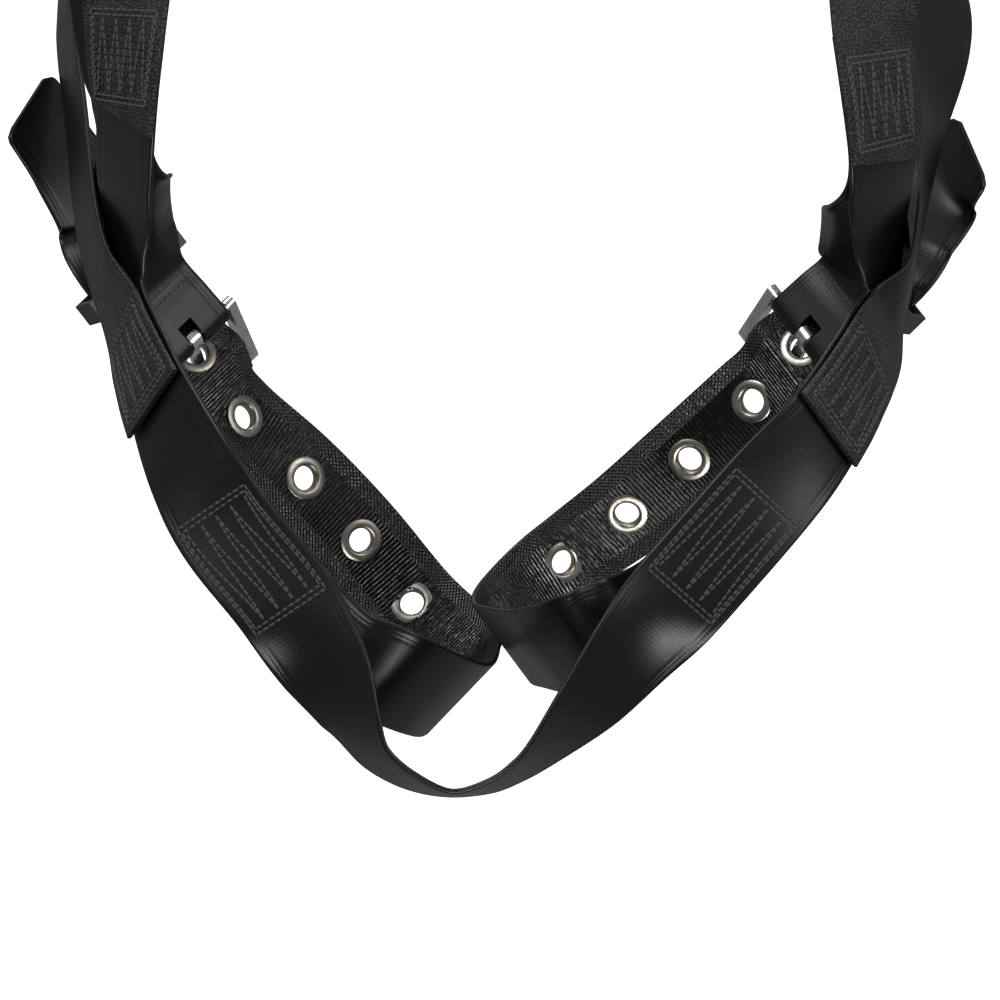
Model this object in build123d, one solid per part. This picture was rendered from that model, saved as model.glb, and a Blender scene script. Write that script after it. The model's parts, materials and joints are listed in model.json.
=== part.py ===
from build123d import *
import os
from math import cos, pi, radians, sin

# Full-body work harness, as worn by a hollow body form. Millimetres.
# +X is the wearer's right-hand side seen from behind, +Y is the way the wearer
# faces and +Z is up. The origin is on the midline at the height of the seat.

# ---- driving dimensions ----
WEB_W = 44.5            # webbing width, the 1-3/4 inch trade size
WEB_T = 2.4             # webbing thickness with its coating
LAYER = 3.2             # from one sewn layer's middle to the next one's
STEPS = 5               # sections between two stations of a strap
CURL_SIDES = 6          # flats across a curled strap
CURL_FADE = 1.9         # stations over which a curl fades to flat
CURL_R_LEFT = 17.0      # tightest curl of each hip strap
CURL_R_RIGHT = 22.0
HIP_SHIFT_LEFT = 9.0    # hip strap, away from the midline in the sewn stack
HIP_SHIFT_RIGHT = 3.6

HOLE_R = 5.7            # clear hole in a leg-strap grommet
BARREL_R = 6.4          # outside of the grommet barrel
FLANGE_R = 10.0
FLANGE_T = 0.8

BAR_R = 2.5             # round bars of the leg buckles
BAR_GAP = 0.3           # webbing to the bar it folds round
FRAME_LEN = 30.0        # leg buckle, pivot bar to front bar
FRAME_IN = 48.0         # leg buckle, inside width
SIDE_T = 5.0            # thickness of a buckle's side cheeks
LEG_CHEEK = 3.1         # half their height on the leg buckles
ADJ_CHEEK = 4.6         # and on the torso adjusters
HIP_TURN = 25.0         # degrees from the leg buckle's plane to the hip strap that holds it
FOLD_BACK = 30.0        # length of webbing turned back and sewn
SLOT_W = 9.0            # slot in the fold for the tongue
TONGUE_W = 6.0
TONGUE_T = 2.3
TONGUE_FIT = 0.08       # tongue's eye on the pivot bar

CROSS_Z = 580.0         # where the two main straps cross on the back
CROSS_Y = -135.0
PLATE_W = 108.0         # dorsal plates
PLATE_H = 100.0
PLATE_T = 4.0
PLATE_GAP = 1.1         # plate to webbing
RIVET_R = 3.0
D_BAR_R = 4.0           # dorsal ring's round bar
D_FIT = 0.06            # its radial running fit in the knuckles
D_INNER = 58.0          # clear width inside the ring
D_DROP = 62.0           # from the hinge bar to the bottom of the bow

ADJ_LEN = 32.0          # torso adjuster, lower bar to top bar
SLIDE_AT = 14.0         # its slide bar, from the lower bar
SLIDE_R = 2.3
SLIDE_TRAVEL = 3.0
STACK_LIFT = 3.6        # middles of the three layers sewn together at the hip
BACK_SHIFT = 2.5        # back strap, towards the midline in it
RETURN_LIFT = 3.9       # turned-back end of the hip strap, over the keeper's inner wall
TAIL_LIFT = 7.5         # leg strap's tail over it
FRONT_LIFT = 4.2        # front strap over the seat strap
KEEPER_LEN = 11.0
KEEPER_AT = 40.0        # leg keeper, behind the pivot bar
KEEPER_T = 2.2
CHEST_Z = 606.0         # height of the chest strap
CHEST_Y = 124.0

# ---- strap stations: middle of the strap, then the direction across it ----
SEAT = [
    ((-161.5, -56, 205), (0.30, -0.68, 0.67)),
    ((-150.5, -79.5, 176), (0.56, -0.77, 0.30)),
    ((-133, -102, 141), (0.74, -0.40, 0.52)),
    ((-118, -108, 116), (0.76, -0.15, 0.63)),
    ((-92, -113, 84), (0.71, -0.05, 0.70)),
    ((-75, -112, 56), (0.52, -0.45, 0.72)),
    ((-64, -109, 34), (0.27, -0.78, 0.56)),
    ((-54, -106, 18), (0.06, -0.92, 0.38)),
    ((-38, -104, 7), (-0.05, -0.97, 0.25)),
    ((-21, -103, 2), (0.0, -1.0, 0.10)),
    ((-4, -104, 5), (0.0, -0.98, 0.17)),
    ((9, -105, 12), (-0.02, -0.96, 0.27)),
    ((20, -106, 21), (-0.13, -0.92, 0.36)),
    ((39, -109, 41), (-0.33, -0.75, 0.58)),
    ((59, -112, 66), (-0.52, -0.48, 0.70)),
    ((77, -113, 87), (-0.68, -0.10, 0.73)),
    ((114, -108, 129), (-0.66, -0.10, 0.75)),
    ((139, -98, 158), (-0.65, -0.50, 0.57)),
    ((157.5, -73.5, 187), (-0.52, -0.76, 0.39)),
    ((167.5, -51, 206), (-0.30, -0.68, 0.67)),
]
# the stack where the back strap, the seat strap and the hip strap are sewn together
STACK_LEFT = [
    ((-162, -90, 294), (0.62, -0.74, -0.26)),
    ((-162, -94, 318), (0.76, -0.64, -0.1)),
    ((-161.5, -97, 345), (0.88, -0.47, -0.04)),
]
STACK_RIGHT = [
    ((166, -88, 276), (-0.68, -0.71, -0.18)),
    ((164, -93, 300), (-0.76, -0.65, -0.05)),
    ((161, -97, 330), (-0.83, -0.55, 0)),
]
# the seat strap's ends, from the stack down to the first and last SEAT stations
RISE_LEFT = [
    ((-164, -74, 268), (0.54, -0.82, -0.15)),
    ((-165, -56, 244), (0.4, -0.9, 0.05)),
    ((-164.5, -49, 223), (0.34, -0.88, 0.32)),
]
RISE_RIGHT = [
    ((167, -70, 256), (-0.56, -0.8, -0.15)),
    ((168.5, -54, 238), (-0.42, -0.9, 0.05)),
    ((169, -47, 221), (-0.34, -0.88, 0.32)),
]
FRONT_LEFT = [
    ((-176.5, -41, 228), (0.3, -0.94, 0.06)),
    ((-183.5, -28, 252), (0.28, -0.96, 0.02)),
    ((-190.5, -8, 300), (0.26, -0.96, 0)),
    ((-198, 18, 352), (0.22, -0.97, 0)),
    ((-200, 46, 400), (-0.05, -1, 0.3)),
    ((-188, 74, 438), (-0.45, -0.8, 0.3)),
]
FRONT_RIGHT = [
    ((180, -42, 222), (-0.14, -0.98, 0.13)),
    ((186, -28, 248), (-0.1, -1, 0.03)),
    ((193, -8, 300), (-0.35, -0.94, 0)),
    ((198, 18, 352), (-0.75, -0.65, 0)),
    ((199, 46, 400), (-0.2, -0.95, 0.2)),
    ((188, 74, 438), (0.4, -0.8, 0.3)),
]
# from the left stack up the back, over the right shoulder and down the chest
BACK = [
    ((-161, -101, 368), (0.97, -0.22, 0)),
    ((-150, -113, 415), (0.95, -0.15, -0.25)),
    ((-118, -127, 466), (0.83, -0.05, -0.55)),
    ((-84, -134, 501), (0.7, 0, -0.7)),
    ((-50, CROSS_Y, 534), (0.7, 0, -0.71)),
    ((0, CROSS_Y, CROSS_Z), (0.7, 0, -0.71)),
    ((46, CROSS_Y, 624), (0.71, 0, -0.7)),
    ((64, -133, 643), (0.76, 0.06, -0.62)),
    ((82, -112, 674), (0.9, 0.22, -0.34)),
    ((97, -56, 704), (0.99, 0.1, -0.1)),
    ((101, 6, 712), (1, 0, 0)),
    ((100, 60, 690), (1, 0, 0)),
    ((99, 95, 640), (1, 0, 0)),
    ((104, 112, 586), (0.95, 0, 0.3)),
]
LEG_LEFT = [
    ((-69, -98, 61), (0.68, 0.0, 0.73)),
    ((-48, -93, 52), (0.68, 0.0, 0.73)),
    ((-30, -65, 43), (0.69, 0.0, 0.72)),
    ((-20, -25, 39), (0.69, 0.0, 0.72)),
    ((-16, 20, 44), (0.69, 0.0, 0.72)),
    ((-17, 60, 56), (0.69, 0.05, 0.72)),
]
LEG_RIGHT = [
    ((58, -94.5, 75.5), (-0.62, 0.05, 0.78)),
    ((38, -94, 68), (-0.60, 0.0, 0.80)),
    ((20, -62, 62), (-0.60, 0.0, 0.80)),
    ((8, -20, 62), (-0.60, 0.0, 0.80)),
    ((1, 20, 64), (-0.60, 0.0, 0.80)),
    ((5, 62, 74), (-0.62, -0.2, 0.76)),
]
HOLES_LEFT = [
    ((-41.4, 92, 79.6), (0.74, 0.10, 0.66)),
    ((-65.4, 82, 109.3), (0.70, 0.17, 0.69)),
    ((-91.1, 68, 138.2), (0.64, 0.36, 0.66)),
    ((-118.7, 53, 166.3), (0.54, 0.62, 0.57)),
]
HOLES_RIGHT = [
    ((29.1, 92, 98.9), (-0.63, -0.42, 0.66)),
    ((59.4, 82, 121.9), (-0.68, -0.25, 0.72)),
    ((88.3, 68, 147.1), (-0.68, -0.05, 0.72)),
    ((116.9, 53, 173.7), (-0.66, 0.2, 0.72)),
]
TAIL_LEFT = [
    ((-182, 31, 256), (0.48, 0.5, 0.72)),
    ((-197, 30, 281), (0.38, 0.52, 0.77)),
    ((-214.7, 18, 308.4), (0.33, 0.52, 0.79)),
]
TAIL_RIGHT = [
    ((187, 20, 249), (-0.45, 0.5, 0.74)),
    ((203, 28, 271), (-0.27, 0.5, 0.82)),
    ((214.5, 18, 288), (-0.17, 0.46, 0.87)),
]
TAIL_CUT = 3.0          # the free end is cut on the slant by this much each side
HIP_LEFT = [
    ((-165.4, -67, 276.5), (0.7, -0.68, -0.23)),
    ((-164.6, -42.5, 261.5), (0.93, 0.24, -0.26)),
    ((-164, 1, 242), (0.9, 0.27, 0.34)),
]
HIP_RIGHT = [
    ((164.7, -66.7, 261.7), (-0.82, -0.5, -0.28)),
    ((162.4, -32.2, 247.5), (-0.97, 0.21, -0.11)),
    ((162.3, 2.3, 233.3), (-0.89, 0.06, 0.44)),
]
# leg buckle: pivot bar middle, front bar middle, direction along the bars
BUCKLE_LEFT = ((-141.0, 28.6, 201.0), (-130.8, 49, 176), (0.62, 0.50, 0.60))
BUCKLE_RIGHT = ((140.0, 26.0, 203.0), (127.7, 49, 183.3), (-0.62, 0.50, 0.60))

PARTS = {}


def mirror_x(stations):
    """The same stations on the other side of the midline."""
    return [((-p[0], p[1], p[2]), (-w[0], w[1], w[2])) for p, w in stations]


def mix(a, b, low, high, t):
    """Straight blend of two (middle, across) pairs between two knots."""
    k = (t - low) / (high - low)
    return tuple(x * (1 - k) + y * k for x, y in zip(a, b))


def catmull(stations, steps):
    """Centripetal Catmull-Rom samples through the (middle, across) stations."""
    rows = [(Vector(*p), Vector(*w)) for p, w in stations]
    first = tuple(a * 2 - b for a, b in zip(rows[0], rows[1]))
    last = tuple(a * 2 - b for a, b in zip(rows[-1], rows[-2]))
    rows = [first] + rows + [last]
    samples = []
    for i in range(1, len(rows) - 2):
        quad = rows[i - 1:i + 3]
        knots = [0.0]
        for a, b in zip(quad, quad[1:]):
            knots.append(knots[-1] + (b[0] - a[0]).length ** 0.5)
        for k in range(steps):
            t = knots[1] + (knots[2] - knots[1]) * k / steps
            ones = [mix(quad[j], quad[j + 1], knots[j], knots[j + 1], t) for j in range(3)]
            twos = [mix(ones[j], ones[j + 1], knots[j], knots[j + 2], t) for j in range(2)]
            samples.append(mix(twos[0], twos[1], knots[1], knots[2], t))
    samples.append(rows[-2])
    return samples


def frames(stations, steps=STEPS):
    """(middle, along, across, outward normal) at each sample of a strap.

    The normal keeps its side along the strap, and points away from the wearer
    at the strap's first sample."""
    rows = catmull(stations, steps)
    out = []
    for i, (middle, across) in enumerate(rows):
        before = rows[max(i - 1, 0)][0]
        after = rows[min(i + 1, len(rows) - 1)][0]
        along = (after - before).normalized()
        across = (across - along * across.dot(along)).normalized()
        out.append((middle, along, across, along.cross(across)))
    middle, normal = out[0][0], out[0][3]
    if normal.X * middle.X + normal.Y * middle.Y < 0:
        out = [(m, t, w, -n) for m, t, w, n in out]
    return out


def ribbon(stations, cut=0.0, steps=STEPS):
    """One strap: rectangular sections joined in straight facets.

    cut slants its last end."""
    rows = frames(stations, steps)
    sections = []
    for i, (middle, along, across, normal) in enumerate(rows):
        slant = along * cut if i == len(rows) - 1 else Vector(0, 0, 0)
        side = across * (WEB_W / 2) + slant
        rise = normal * (WEB_T / 2)
        corners = [middle - side - rise, middle + side - rise, middle + side + rise, middle - side + rise]
        sections.append(Wire.make_polygon(corners, close=True))
    return Solid.make_loft(sections, ruled=True)


def curled_ribbon(stations, steps, peak, radius):
    """A strap whose edges curl towards the wearer round the station numbered peak,
    down to the given radius there, fading out two stations away."""
    sections = []
    for i, (middle, along, across, normal) in enumerate(frames(stations, steps)):
        near = max(0.0, 1 - abs(i / steps - peak) / CURL_FADE)
        bend = max(near * near * (3 - 2 * near) / radius, 1e-5)
        inner, outer = [], []
        for k in range(CURL_SIDES + 1):
            a = bend * WEB_W * (k / CURL_SIDES - 0.5)
            face = normal * cos(a) + across * sin(a)
            spot = middle + across * (sin(a) / bend) - normal * ((1 - cos(a)) / bend)
            inner.append(spot - face * (WEB_T / 2))
            outer.append(spot + face * (WEB_T / 2))
        sections.append(Wire.make_polygon(inner + outer[::-1], close=True))
    return Solid.make_loft(sections, ruled=True)


def lifted(rows, lift, shift=0.0):
    """Stations beside the given frames of another strap: lift layers it outwards,
    and shift moves it across."""
    return [(tuple(m + n * lift + w * shift), tuple(w)) for m, t, w, n in rows]


def keep(name, *shapes):
    """Store one node: a solid, or a group of separate solids."""
    bodies = [s for shape in shapes for s in shape.solids()]
    PARTS[name] = bodies[0] if len(bodies) == 1 else Compound(children=bodies)


def tube(a, b, radius):
    """Round bar between two points."""
    return Solid.make_cylinder(radius, (b - a).length, Plane(origin=a, z_dir=b - a))


class Local:
    """A frame with its own axes: u along, w across and n outwards."""

    def __init__(self, origin, along, across, outward):
        self.o = Vector(*origin)
        self.u = Vector(*along).normalized()
        across = Vector(*across)
        self.w = (across - self.u * across.dot(self.u)).normalized()
        self.n = self.u.cross(self.w)
        if self.n.dot(Vector(*outward)) < 0:
            self.n = -self.n

    def at(self, s, v, h):
        return self.o + self.u * s + self.w * v + self.n * h

    def station(self, s, h):
        return (tuple(self.at(s, 0, h)), tuple(self.w))

    def box(self, s, v, h):
        """Block between (low, high) limits along u, across and outwards."""
        foot = Wire.make_polygon(
            [self.at(a, b, h[0]) for a, b in ((s[0], v[0]), (s[1], v[0]), (s[1], v[1]), (s[0], v[1]))],
            close=True)
        return Solid.extrude(Face(foot), self.n * (h[1] - h[0]))

    def bar(self, s, h, v, radius):
        """Round bar across the frame, at (s, h), between v limits."""
        return tube(self.at(s, v[0], h), self.at(s, v[1], h), radius)

    def holding_fold(self):
        """Stations of webbing that comes up from -u on the inner side, turns round the
        pivot bar at s = 0 and goes back outside as far as the keeper's other end."""
        radius = BAR_R + BAR_GAP + WEB_T / 2
        rows = [self.station(-32, -1.5), self.station(-15, -2.6)]
        for k in range(9):
            a = -pi / 2 + pi * k / 8
            rows.append(self.station(radius * cos(a), radius * sin(a)))
        return rows + [self.station(-15, 2.6), self.station(-25, 1.4), self.station(-32, RETURN_LIFT - 0.1),
                       self.station(-KEEPER_AT, RETURN_LIFT), self.station(-KEEPER_AT - 7.5, RETURN_LIFT)]

    def fold(self, bar_r, back, arc_steps=8):
        """Stations of webbing that comes up from -u on the outer side, turns
        round a bar at s = 0 and goes back inside for the given length."""
        radius = bar_r + BAR_GAP + WEB_T / 2
        close = WEB_T / 2 + 0.3
        rows = [self.station(-back, close), self.station(-back / 2, 2.6)]
        for k in range(arc_steps + 1):
            a = pi / 2 - pi * k / arc_steps
            rows.append(self.station(radius * cos(a), radius * sin(a)))
        return rows + [self.station(-back / 2, -2.6), self.station(-back + 3, -close)]


def eyelet(middle, normal):
    """Rolled grommet: a barrel with a flange on each face of the strap."""
    reach = WEB_T / 2 + 0.25 + FLANGE_T
    ends = (-reach, -reach + FLANGE_T, reach - FLANGE_T, reach)
    at = [middle + normal * h for h in ends]
    shape = tube(at[0], at[3], BARREL_R) + tube(at[0], at[1], FLANGE_R) + tube(at[2], at[3], FLANGE_R)
    return shape - tube(at[0] - normal, at[3] + normal, HOLE_R)


def loop(local, s, v, h, wall):
    """Rectangular sleeve round the space between the v and h limits."""
    outer = local.box(s, (v[0] - wall, v[1] + wall), (h[0] - wall, h[1] + wall))
    return outer - local.box((s[0] - 1, s[1] + 1), v, h)


def buckle_frame(local, length, cheek):
    """Two round bars joined by flat cheeks with rounded ends."""
    half = FRAME_IN / 2
    end = half + SIDE_T
    shape = local.bar(0, 0, (-end, end), BAR_R) + local.bar(length, 0, (-end, end), BAR_R)
    for low, high in ((-end, -half), (half, end)):
        shape += local.box((0, length), (low, high), (-cheek, cheek))
        shape += local.bar(0, 0, (low, high), cheek) + local.bar(length, 0, (low, high), cheek)
    return shape


def tongue(local):
    """Eye on the pivot bar, and a prong that rests on the front bar."""
    eye = BAR_R + TONGUE_FIT
    half = TONGUE_W / 2
    rest = BAR_R + 0.3
    tip = FRAME_LEN + 6
    line = [(0, 0.2), (9, 0.4), (FRAME_LEN - 5, rest), (tip, rest), (tip, rest + 1.2),
            (tip - 2, rest + TONGUE_T), (FRAME_LEN - 6, rest + TONGUE_T), (9, 0.4 + TONGUE_T),
            (0, 0.2 + TONGUE_T)]
    outline = Wire.make_polygon([local.at(s, -half, h) for s, h in line], close=True)
    shape = local.bar(0, 0, (-half, half), eye + 2.0) + Solid.extrude(Face(outline), local.w * TONGUE_W)
    return shape - local.bar(0, 0, (-half - 1, half + 1), eye)


def leg_side(side, seat_rows, leg, holes, tail, hip, hip_shift, hip_curl, stack_rows, buckle):
    """Everything of one leg: leg strap, grommets, hip strap, buckle and keeper."""
    pivot, front, across = buckle
    along = Vector(*front) - Vector(*pivot)
    local = Local(pivot, along, across, (pivot[0], abs(pivot[0]), 0))

    # the leg strap dives through the buckle, and its tail lies outside the hip strap
    turn = radians(HIP_TURN)
    hold = Local(pivot, tuple(local.u * cos(turn) - local.n * sin(turn)), tuple(local.w), tuple(local.n))
    dive = [local.station(FRAME_LEN + 5, -4.8), local.station(FRAME_LEN - 9, -5.2),
            local.station(16.0, -5.4), local.station(9.0, 2.4), local.station(2.0, 9.2)]
    beside = [hold.station(-14, 8.4), hold.station(-26, TAIL_LIFT),
              hold.station(-KEEPER_AT - 10, TAIL_LIFT + 2.0)]
    hip_web = lifted(stack_rows, -STACK_LIFT, -hip_shift) + hip + hold.holding_fold()
    stations = lifted(seat_rows, -LAYER) + leg + holes + dive + beside + tail
    strap = ribbon(stations, cut=TAIL_CUT)
    rows = frames(stations)
    rings = []
    for spot in [h[0] for h in holes] + [dive[3][0]]:
        middle, normal = min(((r[0], r[3]) for r in rows), key=lambda r: (r[0] - Vector(*spot)).length)
        strap -= tube(middle - normal * 3, middle + normal * 3, BARREL_R + 0.1)
        for out in (normal, -normal):
            strap -= tube(middle + out * (WEB_T / 2 + 0.22), middle + out * 4, FLANGE_R + 0.1)
        rings.append(eyelet(middle, normal))
    keep(f"leg_strap_{side}", strap)
    keep(f"leg_grommets_{side}", *rings)

    # the hip strap is sewn into the stack and folded round the pivot bar
    web = curled_ribbon(hip_web, 3, len(stack_rows) + 1, hip_curl)
    slot = hold.box((-13, 8), (-SLOT_W / 2, SLOT_W / 2), (-7, 7))
    keep(f"hip_strap_{side}", web - slot)
    keep(f"leg_buckle_frame_{side}", buckle_frame(local, FRAME_LEN, LEG_CHEEK))
    keep(f"leg_buckle_tongue_{side}", tongue(local))

    # the keeper goes round the hip strap's turned-back end and the leg strap's tail
    half = WEB_W / 2 + 5.0
    reach = (-KEEPER_AT - KEEPER_LEN / 2, -KEEPER_AT + KEEPER_LEN / 2)
    keep(f"leg_keeper_{side}", loop(hold, reach, (-half, half), (KEEPER_T + 0.1, TAIL_LIFT + 4.0), KEEPER_T))


def torso_side(side, stack_rows, front_side, front_rows, front, y_shift):
    """Main strap from one hip over the other shoulder, its adjuster and the front strap."""
    back = BACK if side == "left" else mirror_x(BACK)
    back = [((p[0], p[1] - (y_shift if abs(p[0]) < 55 else 0), p[2]), w) for p, w in back]
    sign = 1 if front_side == "right" else -1
    local = Local((150 * sign, 104, 488), (-0.47 * sign, 0.12, 0.87), (0.88 * sign, 0, 0.47), (0, 1, 0))
    turn = SLIDE_R + BAR_GAP + WEB_T / 2
    past = BAR_R + BAR_GAP + WEB_T / 2
    down = [local.station(ADJ_LEN + 46, -1.9), local.station(ADJ_LEN + 26, -2.2),
            local.station(ADJ_LEN + 3, -past - 0.3)]
    wrap = []
    for k in range(9):
        a = -pi / 2 + pi * k / 8
        wrap.append(local.station(SLIDE_AT - turn * cos(a), turn * sin(a)))
    up = [local.station(ADJ_LEN + 3, past + 0.3), local.station(ADJ_LEN + 26, 2.2),
          local.station(ADJ_LEN + 46, 1.9), local.station(ADJ_LEN + 56, 3.2)]
    web = lifted(stack_rows, STACK_LIFT, BACK_SHIFT) + back + down + wrap + up
    keep(f"main_strap_{side}", ribbon(web, steps=4))

    keep(f"front_strap_{front_side}",
         ribbon(lifted(front_rows, FRONT_LIFT) + front + local.fold(BAR_R, FOLD_BACK), steps=4))
    frame = buckle_frame(local, ADJ_LEN, ADJ_CHEEK)
    end = FRAME_IN / 2 + SIDE_T
    slot = local.box((SLIDE_AT - SLIDE_R - 0.2, SLIDE_AT + SLIDE_TRAVEL + SLIDE_R + 0.2),
                     (-end - 1, end + 1), (-SLIDE_R - 0.2, SLIDE_R + 0.2))
    keep(f"torso_adjuster_{front_side}", frame - slot)
    rod = local.bar(SLIDE_AT, 0, (-end - 0.4, end + 0.4), SLIDE_R)
    for low, high in ((-end - 1.8, -end - 0.3), (end + 0.3, end + 1.8)):
        rod += local.bar(SLIDE_AT, 0, (low, high), SLIDE_R + 1.4)
    keep(f"torso_slide_bar_{front_side}", rod)
    half = WEB_W / 2 + 2
    reach = (ADJ_LEN + 30 - KEEPER_LEN / 2, ADJ_LEN + 30 + KEEPER_LEN / 2)
    keep(f"torso_keeper_{front_side}", loop(local, reach, (-half, half), (-4.4, 4.4), KEEPER_T))
    chest_half(front_side, sign, min(frames(web, 4), key=lambda r: abs(r[0].Z - CHEST_Z) + max(0, -r[0].Y)))


def chest_half(side, sign, row):
    """One half of the chest strap, sewn across the main strap and folded round its bar."""
    middle, along, across, normal = row
    across = across if across.X * sign > 0 else -across
    up = along if along.Z > 0 else -along
    run = [(tuple(middle + normal * 4.0 + across * v), tuple(up)) for v in (20, 0, -20)]
    local = CHEST[side]
    keep(f"chest_strap_{side}", ribbon(run + local.fold(BAR_R, 24), steps=3))


def chest_buckle():
    """A flat hook on the left half that catches a bar on the right half."""
    catch = 24.0
    left = CHEST["left"]
    keep("chest_buckle_socket", buckle_frame(CHEST["right"], catch, LEG_CHEEK))
    hook = buckle_frame(left, 12.0, LEG_CHEEK)
    lip = 50 - catch + BAR_R + 1.6
    hook += left.box((12, lip + 2.2), (-15, 15), (BAR_R + 0.5, BAR_R + 2.7))
    hook += left.box((12 - BAR_R, 12 + BAR_R), (-15, 15), (0, BAR_R + 2.7))
    hook += left.box((lip, lip + 2.2), (-15, 15), (-2.2, BAR_R + 2.7))
    keep("chest_buckle_hook", hook)


CHEST = {
    "right": Local((16, CHEST_Y, CHEST_Z), (-1, 0, 0), (0, 0, 1), (0, 1, 0)),
    "left": Local((-34, CHEST_Y, CHEST_Z), (1, 0, 0), (0, 0, 1), (0, 1, 0)),
}


def dorsal():
    """Backing plate, outer plate with knuckles, rivets and the dorsal ring."""
    inner_y = CROSS_Y + WEB_T / 2 + PLATE_GAP
    outer_y = CROSS_Y - LAYER - WEB_T / 2 - PLATE_GAP
    spots = [(-PLATE_W / 2 + 8, 0), (PLATE_W / 2 - 8, 0), (0, -PLATE_H / 2 + 7), (0, PLATE_H / 2 - 7)]

    def plate(y, thick):
        shape = Pos(0, y + thick / 2, CROSS_Z) * Box(PLATE_W, thick, PLATE_H)
        shape = fillet(shape.edges().filter_by(Axis.Y), 22)
        for x, z in spots:
            shape -= rod(x, z, RIVET_R + 0.1, y - 1, y + thick + 1)
        return shape

    def rod(x, z, radius, y0, y1):
        return tube(Vector(x, y0, CROSS_Z + z), Vector(x, y1, CROSS_Z + z), radius)

    keep("dorsal_backing", plate(inner_y, PLATE_T - 1))
    face = outer_y - PLATE_T
    bar_z = CROSS_Z + 16
    bar_y = face - D_BAR_R - 3.5
    shape = plate(face, PLATE_T)
    knuckle_r = D_BAR_R + 3.0
    inside = D_INNER / 2 - 6
    for low, high in ((-inside, -4), (4, inside)):
        knuckle = tube(Vector(low, bar_y, bar_z), Vector(high, bar_y, bar_z), knuckle_r)
        foot = Pos((low + high) / 2, (bar_y + face) / 2, bar_z) * Box(high - low, face - bar_y, 2 * knuckle_r)
        bore = tube(Vector(low - 1, bar_y, bar_z), Vector(high + 1, bar_y, bar_z), D_BAR_R + D_FIT)
        shape += knuckle + foot - bore
        shape -= bore
    keep("dorsal_plate", shape)

    rivets = []
    for x, z in spots:
        shank = rod(x, z, RIVET_R, face - 1.6, inner_y + PLATE_T - 1 + 1.6)
        rivets.append(shank + rod(x, z, RIVET_R * 2, face - 1.6, face)
                      + rod(x, z, RIVET_R * 2, inner_y + PLATE_T - 1, inner_y + PLATE_T - 1 + 1.6))
    keep("dorsal_rivets", *rivets)

    half = D_INNER / 2 + D_BAR_R
    bow_r = half
    with BuildLine() as path:
        Polyline((-half, bar_y, bar_z), (-half, bar_y, bar_z - D_DROP + bow_r))
        ThreePointArc((-half, bar_y, bar_z - D_DROP + bow_r), (0, bar_y, bar_z - D_DROP),
                      (half, bar_y, bar_z - D_DROP + bow_r))
        Polyline((half, bar_y, bar_z - D_DROP + bow_r), (half, bar_y, bar_z))
    section = Plane(origin=(-half, bar_y, bar_z), z_dir=(0, 0, -1)) * Circle(D_BAR_R)
    ring = sweep(section, path=path.wire())
    ring += tube(Vector(-half, bar_y, bar_z), Vector(half, bar_y, bar_z), D_BAR_R)
    for x in (-half, half):
        ring += Pos(x, bar_y, bar_z) * Sphere(D_BAR_R)
    keep("dorsal_d_ring", ring)


def main():
    os.makedirs("parts", exist_ok=True)
    left_end = list(reversed(STACK_LEFT)) + RISE_LEFT
    right_end = list(reversed(RISE_RIGHT)) + STACK_RIGHT
    seat = left_end + SEAT + right_end
    keep("seat_strap", ribbon(seat))
    rows = frames(seat)
    first = len(left_end) * STEPS
    last = first + (len(SEAT) - 1) * STEPS
    left_stack = [rows[2 * STEPS], rows[STEPS], rows[0]]
    right_stack = [rows[-1 - 2 * STEPS], rows[-1 - STEPS], rows[-1]]
    leg_side("left", rows[first + 13:first + 21:2], LEG_LEFT, HOLES_LEFT, TAIL_LEFT, HIP_LEFT,
             HIP_SHIFT_LEFT, CURL_R_LEFT, list(reversed(left_stack)), BUCKLE_LEFT)
    leg_side("right", rows[last - 15:last - 21:-1], LEG_RIGHT, HOLES_RIGHT, TAIL_RIGHT, HIP_RIGHT,
             HIP_SHIFT_RIGHT, CURL_R_RIGHT, list(reversed(right_stack)), BUCKLE_RIGHT)
    torso_side("left", left_stack, "right", rows[last - 2 * STEPS:last + 1:2], FRONT_RIGHT, 0)
    torso_side("right", right_stack, "left", rows[first + STEPS + 1:first - 1:-2], FRONT_LEFT, LAYER)
    chest_buckle()
    dorsal()
    for name, shape in PARTS.items():
        export_step(shape, f"parts/{name}.step")


main()
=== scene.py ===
import json
from math import cos, pi, radians, sin, sqrt
import bpy
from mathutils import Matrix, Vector


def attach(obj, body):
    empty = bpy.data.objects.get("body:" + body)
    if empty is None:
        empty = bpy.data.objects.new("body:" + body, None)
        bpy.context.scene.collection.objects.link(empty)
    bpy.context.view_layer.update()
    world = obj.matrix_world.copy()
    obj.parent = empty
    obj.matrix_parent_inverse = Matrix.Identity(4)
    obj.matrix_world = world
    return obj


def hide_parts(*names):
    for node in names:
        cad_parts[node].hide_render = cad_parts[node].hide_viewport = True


# Full-body safety harness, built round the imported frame. Strap sizes and stations are in
# millimetres in the frame's own axes, and every mesh is written in metres.

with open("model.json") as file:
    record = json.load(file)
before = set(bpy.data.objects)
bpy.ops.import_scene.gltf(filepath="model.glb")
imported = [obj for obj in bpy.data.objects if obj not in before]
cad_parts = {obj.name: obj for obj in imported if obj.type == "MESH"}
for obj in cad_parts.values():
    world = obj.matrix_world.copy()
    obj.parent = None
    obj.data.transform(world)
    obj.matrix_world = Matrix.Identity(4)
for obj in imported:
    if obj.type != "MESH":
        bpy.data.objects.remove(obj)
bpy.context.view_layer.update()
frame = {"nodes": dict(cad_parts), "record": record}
WEBBING = "webbing"     # the body that carries all the sewn webbing
MM = 0.001

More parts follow.
